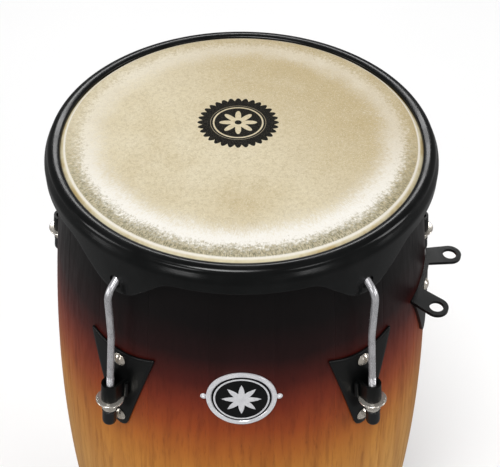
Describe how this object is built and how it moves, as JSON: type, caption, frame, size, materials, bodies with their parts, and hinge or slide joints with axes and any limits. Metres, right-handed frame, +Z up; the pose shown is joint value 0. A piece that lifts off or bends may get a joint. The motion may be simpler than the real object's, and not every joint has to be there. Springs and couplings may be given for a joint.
{
  "type": "conga drum",
  "caption": "Tall barrel hand drum with one rawhide head, a black steel rim drawn down by hooked tuning rods, a wooden shell, a side bracket and a round badge.",
  "frame": {"origin": "centre of the foot, on the floor, on the drum's own axis", "axes": "+Z up along the drum's axis, -Y towards the badge, +X towards the side with the stand bracket"},
  "size_m": [0.3625, 0.358, 0.711],
  "materials": {
    "rawhide": "natural",
    "rim_black": "gloss powder coat",
    "hoop_steel": "plain",
    "rawhide_lap": "natural",
    "shell_wood": "gloss lacquer, dark burst",
    "rod_chrome": "polished",
    "nut_chrome": "polished",
    "cap_black": "satin",
    "plate_black": "satin powder coat",
    "screw_chrome": "polished",
    "zinc_hardware": "zinc",
    "foot_rubber": "matte",
    "badge_chrome": "polished",
    "badge_black": "enamel"
  },
  "bodies": {
    "root": {"shell_staves": "shell_wood", "bottom_ring": "foot_rubber", "drum_skin": "rawhide", "lug_screws": "screw_chrome", "lug_inner_washers": "zinc_hardware", "lug_inner_nuts": "zinc_hardware", "stand_bracket": "plate_black", "bracket_screws": "screw_chrome", "bracket_inner_washers": "zinc_hardware", "bracket_inner_nuts": "zinc_hardware", "badge_plate": "badge_chrome", "badge_inlay": "badge_black", "badge_pins": "badge_chrome", "lug_plate_1": "plate_black", "lug_plate_2": "plate_black", "lug_plate_3": "plate_black", "lug_plate_4": "plate_black", "lug_plate_5": "plate_black", "lug_strap_1": "plate_black", "lug_strap_2": "plate_black", "lug_strap_3": "plate_black", "lug_strap_4": "plate_black", "lug_strap_5": "plate_black"},
    "rim": {"counterhoop": "rim_black", "flesh_hoop": "hoop_steel", "hoop_wrap": "rawhide_lap"},
    "hook_1": {"tuning_hook_1": "rod_chrome", "rod_cap_1": "cap_black"},
    "nut_1": {"tuning_nut_1": "nut_chrome", "nut_washer_1": "nut_chrome"},
    "hook_2": {"tuning_hook_2": "rod_chrome", "rod_cap_2": "cap_black"},
    "nut_2": {"tuning_nut_2": "nut_chrome", "nut_washer_2": "nut_chrome"},
    "hook_3": {"tuning_hook_3": "rod_chrome", "rod_cap_3": "cap_black"},
    "nut_3": {"tuning_nut_3": "nut_chrome", "nut_washer_3": "nut_chrome"},
    "hook_4": {"tuning_hook_4": "rod_chrome", "rod_cap_4": "cap_black"},
    "nut_4": {"tuning_nut_4": "nut_chrome", "nut_washer_4": "nut_chrome"},
    "hook_5": {"tuning_hook_5": "rod_chrome", "rod_cap_5": "cap_black"},
    "nut_5": {"tuning_nut_5": "nut_chrome", "nut_washer_5": "nut_chrome"}
  },
  "joints": [
    {"name": "rim_slide", "type": "slide", "parent": "root", "child": "rim", "axis": [0, 0, -1], "range_m": [0, 0.004]},
    {"name": "nut_turn_1", "type": "hinge", "parent": "root", "child": "nut_1", "pos_m": [0.10355, -0.14253, 0.55363], "axis": [0.09, -0.1239, -0.9882], "range_deg": [-1386.9, 10]},
    {"name": "nut_turn_2", "type": "hinge", "parent": "root", "child": "nut_2", "pos_m": [0.16756, 0.05444, 0.55363], "axis": [0.1457, 0.0473, -0.9882], "range_deg": [-1386.9, 10]},
    {"name": "nut_turn_3", "type": "hinge", "parent": "root", "child": "nut_3", "pos_m": [0, 0.17618, 0.55363], "axis": [0, 0.1532, -0.9882], "range_deg": [-1386.9, 10]},
    {"name": "nut_turn_4", "type": "hinge", "parent": "root", "child": "nut_4", "pos_m": [-0.16756, 0.05444, 0.55363], "axis": [-0.1457, 0.0473, -0.9882], "range_deg": [-1386.9, 10]},
    {"name": "nut_turn_5", "type": "hinge", "parent": "root", "child": "nut_5", "pos_m": [-0.10355, -0.14253, 0.55363], "axis": [-0.09, -0.1239, -0.9882], "range_deg": [-1386.9, 10]},
    {"name": "hook_slide_1", "type": "slide", "parent": "root", "child": "hook_1", "axis": [0.09, -0.1239, -0.9882], "range_m": [0, 0.0042]},
    {"name": "hook_slide_2", "type": "slide", "parent": "root", "child": "hook_2", "axis": [0.1457, 0.0473, -0.9882], "range_m": [0, 0.0042]},
    {"name": "hook_slide_3", "type": "slide", "parent": "root", "child": "hook_3", "axis": [0, 0.1532, -0.9882], "range_m": [0, 0.0042]},
    {"name": "hook_slide_4", "type": "slide", "parent": "root", "child": "hook_4", "axis": [-0.1457, 0.0473, -0.9882], "range_m": [0, 0.0042]},
    {"name": "hook_slide_5", "type": "slide", "parent": "root", "child": "hook_5", "axis": [-0.09, -0.1239, -0.9882], "range_m": [0, 0.0042]}
  ],
  "couplings": [
    {"joint": "nut_turn_1", "follows": "rim_slide", "rad_per_m": -6007.8},
    {"joint": "nut_turn_2", "follows": "rim_slide", "rad_per_m": -6007.8},
    {"joint": "nut_turn_3", "follows": "rim_slide", "rad_per_m": -6007.8},
    {"joint": "nut_turn_4", "follows": "rim_slide", "rad_per_m": -6007.8},
    {"joint": "nut_turn_5", "follows": "rim_slide", "rad_per_m": -6007.8},
    {"joint": "hook_slide_1", "follows": "rim_slide", "ratio": 1.0119},
    {"joint": "hook_slide_2", "follows": "rim_slide", "ratio": 1.0119},
    {"joint": "hook_slide_3", "follows": "rim_slide", "ratio": 1.0119},
    {"joint": "hook_slide_4", "follows": "rim_slide", "ratio": 1.0119},
    {"joint": "hook_slide_5", "follows": "rim_slide", "ratio": 1.0119}
  ]
}
